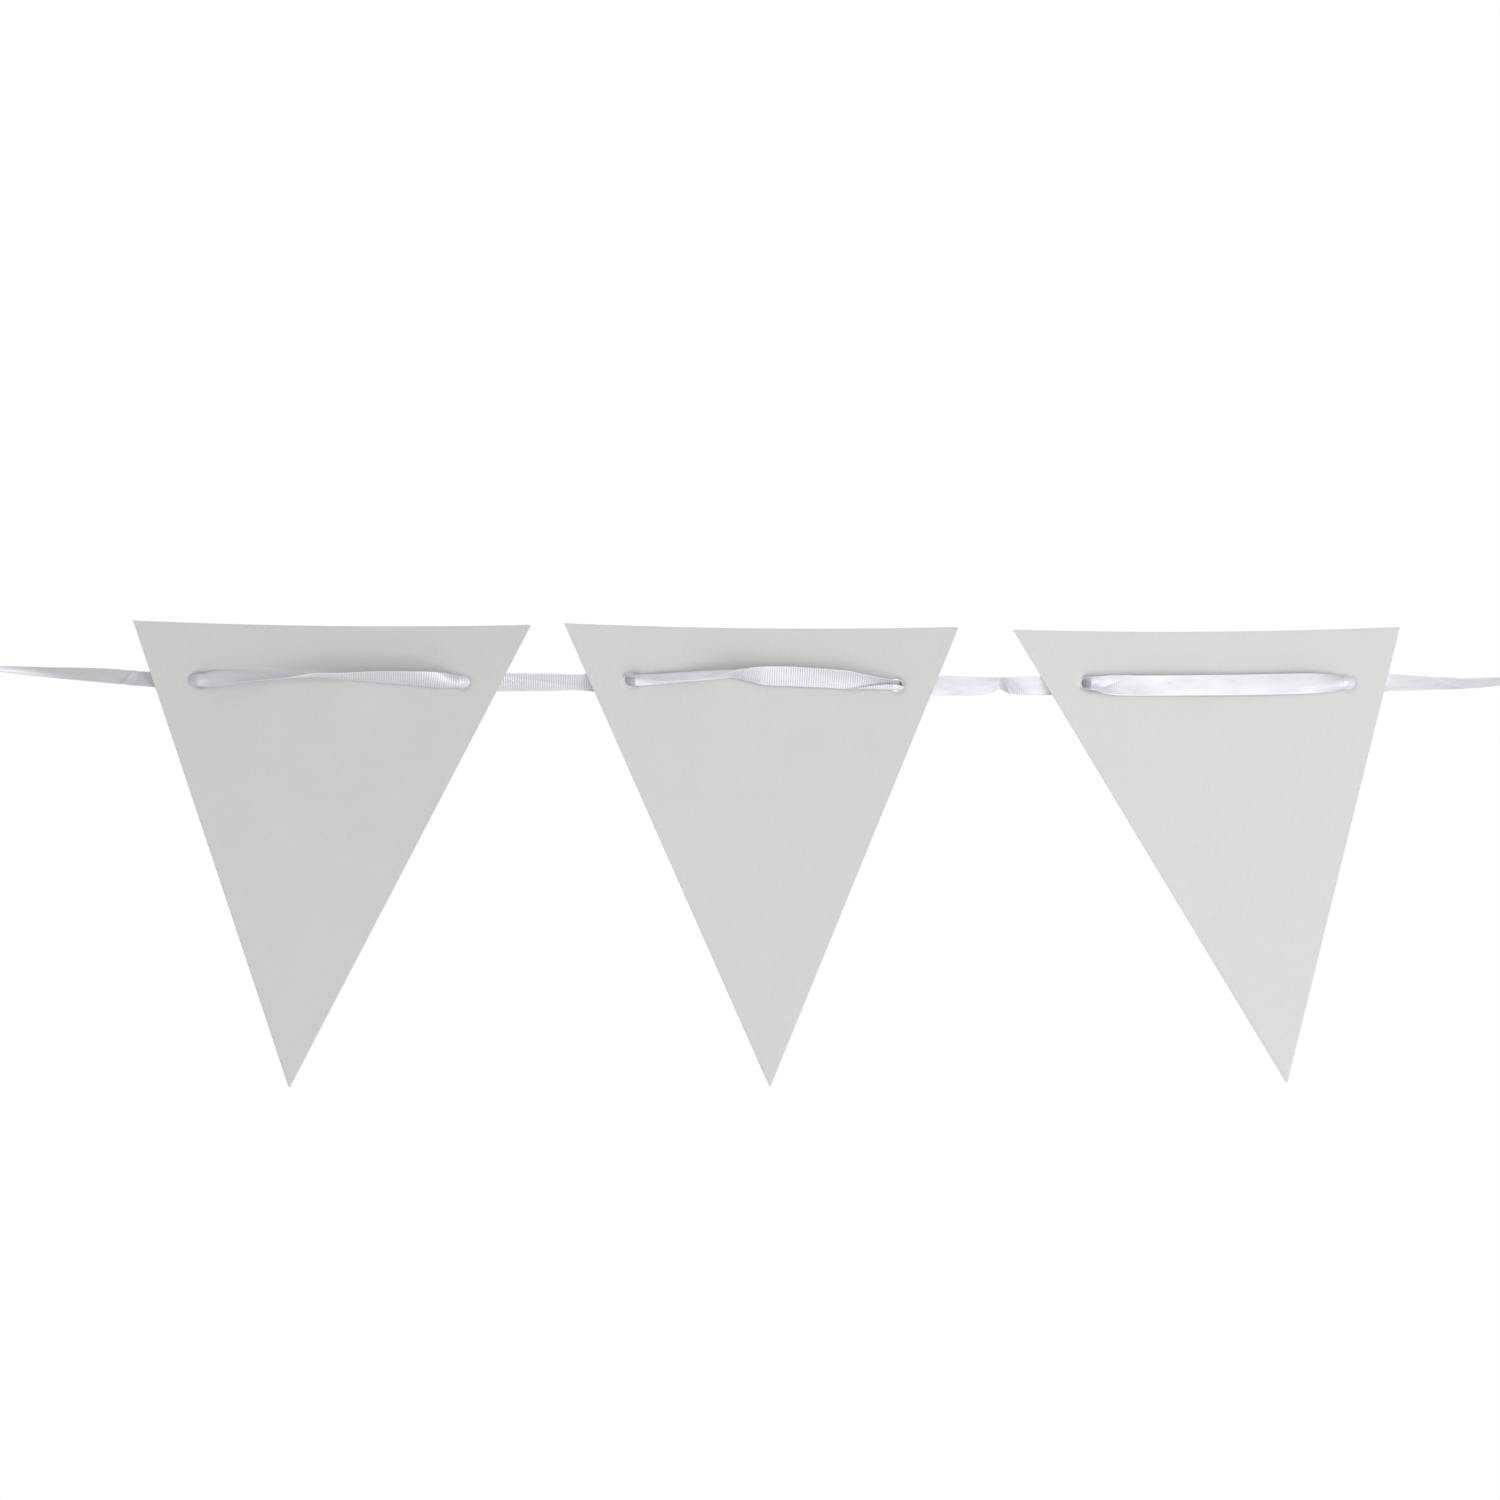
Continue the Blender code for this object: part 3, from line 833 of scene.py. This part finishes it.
def ribbon_run(ribbon, card):
    """The main run as a grid of points, with its normals and length along.

    A section is drawn by its direction: the roll, plus the curl times the place
    across, plus the hem's turn below its crease and the flap's above its top.
    Summing the direction's cosine and sine across the width gives its height and
    depth, which are set midway on the route and clear of the card.
    """
    x = ribbon_places(ribbon)
    _, z, roll, curl, hem, crease, flap, top = read_table(RIBBON_ROUTE, x / MM)
    across = ribbon_across(ribbon)
    share = across / (ribbon.width / 2.0)
    hem_bend = 0.9
    flap_bend = 0.8
    below = 1.0 - smooth_step(-hem_bend, hem_bend, across / MM - crease[:, None])
    above = smooth_step(-flap_bend, flap_bend, across / MM - top[:, None])
    turn = np.radians(roll[:, None] + curl[:, None] * share + hem[:, None] * below
                      + flap[:, None] * above)
    rise, back = across_section(turn, across)
    rise -= (rise.max(axis=1, keepdims=True) + rise.min(axis=1, keepdims=True)) / 2.0
    back -= (back.max(axis=1, keepdims=True) + back.min(axis=1, keepdims=True)) / 2.0
    reach = back.max(axis=1)
    card_middle, half_span = nearest_pennant(x)
    beside = card_middle + np.maximum(np.abs(x - card_middle), half_span)
    surface = np.maximum(0.0, card_depth(beside, card_middle))
    stand_off = card.thickness / 2.0 + ribbon.thickness + ribbon.clearance + reach
    draw_in = smooth_step(DRAW_IN_START, DRAW_IN_END, np.abs(x))
    depth = (surface + ribbon_side(x, ribbon.crossing, ribbon.lean) * stand_off) * (1.0 - draw_in)
    centre = np.stack([x, depth, z * MM], axis=-1)
    tangent = np.gradient(centre, axis=0)
    tangent[0] = tangent[-1] = (1.0, 0.0, 0.0)
    tangent = unit(tangent)
    behind = unit(np.cross((0.0, 0.0, 1.0), tangent))
    upward = np.cross(tangent, behind)
    middle, outward = carry_section(centre, upward, behind, turn, rise, back)
    for crease in CREASES:
        distance = x[:, None] / MM - crease.x - crease.slant * across / MM
        lift = crease.depth * MM * np.exp(-(distance / crease.width) ** 2)
        middle = middle + outward * lift[..., None]
    shell = ribbon_shell(middle, outward, path_lengths(centre), across, ribbon)
    return shell, centre


def gathered_strip(centre, wide, deep, gather, ribbon):
    """A strip on a path, its halves bent round by the gather at each of its rows."""
    across = ribbon_across(ribbon)
    turn = gather[:, None] * across / (ribbon.width / 2.0)
    sideways, backwards = across_section(turn, across)
    half = len(across) // 2
    sideways -= sideways[:, half:half + 1].copy()
    backwards -= backwards[:, half:half + 1].copy()
    middle, outward = carry_section(centre, wide, deep, turn, sideways, backwards)
    return middle, outward, across


def end_root(side):
    """Where the main run ends, on the side given as -1 or 1."""
    end = RIBBON_ROUTE[0] if side < 0 else RIBBON_ROUTE[-1]
    return np.array([end.x * MM, 0.0, end.z * MM])


def loop_shells(side, ribbon, ends):
    """A teardrop loop, its width lying along Y and gathered where it meets its knot.

    Over nearly one full turn t, x runs out and back as one less the cosine of t,
    halved, and z swells as the sine of t times the sine of half t.
    """
    root = end_root(side)
    gather_reach = 7.0 * MM
    t = np.linspace(ends.loop_opening, 2.0 * math.pi - ends.loop_opening, 330)
    out = ends.loop_length * (1.0 - np.cos(t)) / 2.0 + 2.0 * ends.gap + ends.knot_length
    rise = ends.loop_swell * np.sin(t) * np.sin(t / 2.0) + ends.loop_root * np.cos(t / 2.0)
    centre = np.stack([root[0] + side * out, np.zeros_like(t), root[2] + rise], axis=-1)
    along = path_lengths(centre)
    tangent = unit(np.gradient(centre, axis=0))
    wide = np.broadcast_to((0.0, 1.0, 0.0), centre.shape)
    deep = -side * np.cross(wide, tangent)
    gather = np.radians(92.0) * (np.exp(-(along / gather_reach) ** 2)
                                 + np.exp(-((along[-1] - along) / gather_reach) ** 2))
    middle, outward, across = gathered_strip(centre, wide, deep, gather, ribbon)
    return [ribbon_shell(middle, outward, along, across, ribbon)]


def tail_shells(side, ribbon, ends):
    """A cut end: its path drops from the knot and swings out and back as the square
    of the share dropped, and the cut slants as its sixth power."""
    root = end_root(side)
    swing_out = 5.0 * MM
    swing_back = 3.0 * MM
    share = np.linspace(-0.06, 1.0, 96)
    drop = np.maximum(share, 0.0)
    top = root[2] - ends.knot_height * 0.55 - ends.gap
    centre = np.stack([
        root[0] + side * (ends.gap + ends.knot_length / 2.0 + swing_out * drop ** 2),
        swing_back * drop ** 2, top - ends.tail_length * share], axis=-1)
    along = path_lengths(centre)
    tangent = unit(np.gradient(centre, axis=0))
    deep = unit(np.cross(tangent, (1.0, 0.0, 0.0)))
    wide = np.cross(deep, tangent)
    gather = np.radians(18.0 + 84.0 * (1.0 - smooth_step(0.0, 10.0 * MM, along)))
    middle, outward, across = gathered_strip(centre, wide, deep, gather, ribbon)
    slant = side * ends.tail_slant / 2.0 * drop[:, None] ** 6 * across / (ribbon.width / 2.0)
    middle = middle - tangent[:, None] * slant[..., None]
    return [ribbon_shell(middle, outward, along, across, ribbon)]


def knot_point(side, latitude, turn, lift, ends):
    """A point of the knot: an egg along X whose girth is the sine of the latitude to
    the power 0.7, with three slanting wraps and finer pleats between them."""
    centre = end_root(side) + np.array([side * (ends.gap + ends.knot_length / 2.0), 0.0, 0.0])
    along = -np.cos(latitude)
    girth = np.sin(latitude) ** 0.7 * lift
    girth = girth * (1.0 + 0.08 * np.cos(3.0 * turn - 2.4 * along)
                     + 0.028 * np.cos(10.0 * turn - 6.0 * along + 1.4 * np.sin(turn)))
    return centre + np.stack([
        side * along * (ends.knot_length / 2.0 + 0.8 * MM),
        girth * np.cos(turn) * ends.knot_depth / 2.0,
        girth * np.sin(turn) * ends.knot_height / 2.0], axis=-1)


def knot_shells(side, ribbon, ends):
    """The knot's gathered core, and the ribbon's own width wound round it."""
    latitude = np.linspace(0.0, math.pi, 49)[:, None]
    turn = np.linspace(0.0, 2.0 * math.pi, 121)[None, :]
    latitude, turn = np.broadcast_arrays(latitude, turn)
    core = knot_point(side, latitude, turn, 1.0, ends)
    weave = np.stack([turn * ends.knot_height / 2.0,
                      np.cos(latitude) * 0.3 * ribbon.width], axis=-1)
    core = (core.reshape(-1, 3), grid_quads(*latitude.shape), weave.reshape(-1, 2))
    across = ribbon_across(ribbon)
    s = across / (ribbon.width / 2.0)
    start, end, ease = -2.3, 4.9, 0.9
    t = np.linspace(start, end, 200)[:, None]
    rise = smooth_step(start, start + ease, t) * (1.0 - smooth_step(end - ease, end, t))
    latitude = math.pi / 2.0 - 0.10 + 0.16 * (t - 1.3) + 0.44 * s
    lift = 0.90 + 0.15 * rise - 0.05 * s ** 4 + 0.014 * np.cos(8.5 * s + 0.6 * t)
    latitude, turn, lift = np.broadcast_arrays(latitude, t, lift)
    middle = knot_point(side, latitude, turn, lift, ends)
    outward = unit(np.cross(np.gradient(middle, axis=1), np.gradient(middle, axis=0)))
    along = path_lengths(middle[:, len(across) // 2])
    return [core, ribbon_shell(middle, outward, along, across, ribbon)]


def settings():
    """The bunting's settings in this scene."""
    return bpy.context.scene.bunting


def material_named(name, make, group):
    """The material of that name, made on first use."""
    return bpy.data.materials.get(name) or make(group)


def both_ends(part, shells):
    """Make a part at each end of the ribbon, from the shells that it consists of."""
    ribbon, ends = settings().ribbon, settings().ends
    for name, side in SIDES.items():
        satin_piece(f"ribbon_{part}_{name}", f"{part}_{name}", shells(side, ribbon, ends), ribbon)


class RibbonOperator(bpy.types.Operator):
    """Thread the ribbon's main run through the pennants."""

    bl_idname = "bunting.ribbon"
    bl_label = "Ribbon"

    def execute(self, context):
        ribbon = settings().ribbon
        shell, centre = ribbon_run(ribbon, settings().card)
        piece = satin_piece("ribbon_run", "ribbon", [shell], ribbon)
        [tuple(point) for point in centre[::8]] + [tuple(centre[-1])]
        return {"FINISHED"}


class LoopsOperator(bpy.types.Operator):
    """Bend each end of the ribbon back into its hanging loop."""

    bl_idname = "bunting.loops"
    bl_label = "Hanging loops"

    def execute(self, context):
        both_ends("loop", loop_shells)
        return {"FINISHED"}


class KnotsOperator(bpy.types.Operator):
    """Tie the knots that close the loops."""

    bl_idname = "bunting.knots"
    bl_label = "Knots"

    def execute(self, context):
        both_ends("knot", knot_shells)
        return {"FINISHED"}


class TailsOperator(bpy.types.Operator):
    """Leave the ribbon's two cut ends hanging from the knots."""

    bl_idname = "bunting.tails"
    bl_label = "Cut ends"

    def execute(self, context):
        both_ends("tail", tail_shells)
        return {"FINISHED"}


class CardsOperator(bpy.types.Operator):
    """Cut the three card pennants and punch their holes."""

    bl_idname = "bunting.cards"
    bl_label = "Card pennants"

    def execute(self, context):
        card = settings().card
        matte = material_named("matte card", card_material, card)
        for pennant in PENNANTS:
            build_card(pennant, card, matte)
        return {"FINISHED"}


class StageOperator(bpy.types.Operator):
    """Lay the floor and set the lights and the camera."""

    bl_idname = "bunting.stage"
    bl_label = "Stage"

    def execute(self, context):
        stage = settings().stage
        build_floor(stage)
        build_sky(stage)
        middle = Vector((0.0, 0.0, stage.view_height))
        for light in LIGHTS:
            add_light(light, middle, getattr(stage, light.power))
        add_camera(stage, middle)
        return {"FINISHED"}


def build_floor(stage):
    """A round floor: rings of points at evenly spaced radii, closed at the middle."""
    turn = np.linspace(0.0, 2.0 * math.pi, 97)
    radius = np.linspace(0.0, 1.0, 9)[:, None] * stage.floor_radius
    points = np.stack([radius * np.cos(turn), radius * np.sin(turn),
                       np.full((9, 97), stage.floor_height)], axis=-1)
    floor = make_piece("floor", points.reshape(-1, 3), grid_quads(9, 97), floor_material())
    close_up(floor, 1.0 * MM, facing=(0.0, 0.0, 1.0))


def build_sky(stage):
    """White to the camera, and a weaker even light on the pieces."""
    world = bpy.data.worlds.new("studio")
    world.use_nodes = True
    tree = world.node_tree
    background = tree.nodes["Background"]
    background.inputs["Color"].default_value = (1.0, 1.0, 1.0, 1.0)
    rays = tree.nodes.new("ShaderNodeLightPath")
    strength = tree.nodes.new("ShaderNodeMapRange")
    strength.inputs["To Min"].default_value = stage.sky
    strength.inputs["To Max"].default_value = 1.0
    tree.links.new(rays.outputs["Is Camera Ray"], strength.inputs["Value"])
    tree.links.new(strength.outputs["Result"], background.inputs["Strength"])
    bpy.context.scene.world = world
    bpy.context.scene.view_settings.view_transform = "Standard"


def add_light(light, target, power):
    """A square soft light at its place, turned to the target."""
    data = bpy.data.lights.new(light.name, "AREA")
    data.shape = "SQUARE"
    data.size = light.size
    data.energy = power
    lamp = bpy.data.objects.new(light.name, data)
    lamp.location = light.place
    lamp.rotation_euler = (target - Vector(light.place)).to_track_quat("-Z", "Y").to_euler()
    lamp.visible_camera = False
    bpy.context.scene.collection.objects.link(lamp)


def add_camera(stage, middle):
    """Square on to the pennants, framed as wide as the view."""
    data = bpy.data.cameras.new("camera")
    data.sensor_width = 36.0
    data.lens = data.sensor_width * stage.camera_distance / stage.view_width
    data.clip_end = 50.0
    camera = bpy.data.objects.new("camera", data)
    camera.location = middle - Vector((0.0, stage.camera_distance, 0.0))
    camera.rotation_euler = (math.radians(90.0), 0.0, 0.0)
    bpy.context.scene.collection.objects.link(camera)
    bpy.context.scene.camera = camera


class BuntingPanel(bpy.types.Panel):
    """Lists the bunting's pieces in the sidebar."""

    bl_idname = "BUNTING_PT_pieces"
    bl_label = "Card pennant bunting"
    bl_space_type = "VIEW_3D"
    bl_region_type = "UI"
    bl_category = "Bunting"

    def draw(self, context):
        for operator in OPERATORS:
            self.layout.operator(operator.bl_idname)
        for group in (settings().card, settings().ribbon, settings().ends, settings().stage):
            box = self.layout.box()
            for name in group.__annotations__:
                box.prop(group, name)


OPERATORS = (StageOperator, LoopsOperator, KnotsOperator, TailsOperator, RibbonOperator,
             CardsOperator)
CLASSES = (CardSettings, RibbonSettings, EndSettings, StageSettings, BuntingSettings,
           *OPERATORS, BuntingPanel)


def register():
    """Make the settings, the operators and the panel known to the program."""
    for each in CLASSES:
        bpy.utils.register_class(each)
    bpy.types.Scene.bunting = PointerProperty(type=BuntingSettings)


def unregister():
    """Take them out again."""
    del bpy.types.Scene.bunting
    for each in reversed(CLASSES):
        bpy.utils.unregister_class(each)


def main():
    """Build the stage and all the pieces."""
    register()
    bpy.ops.bunting.stage()
    bpy.ops.bunting.loops()
    bpy.ops.bunting.knots()
    bpy.ops.bunting.tails()
    bpy.ops.bunting.ribbon()
    bpy.ops.bunting.cards()


if __name__ == "__main__":
    main()
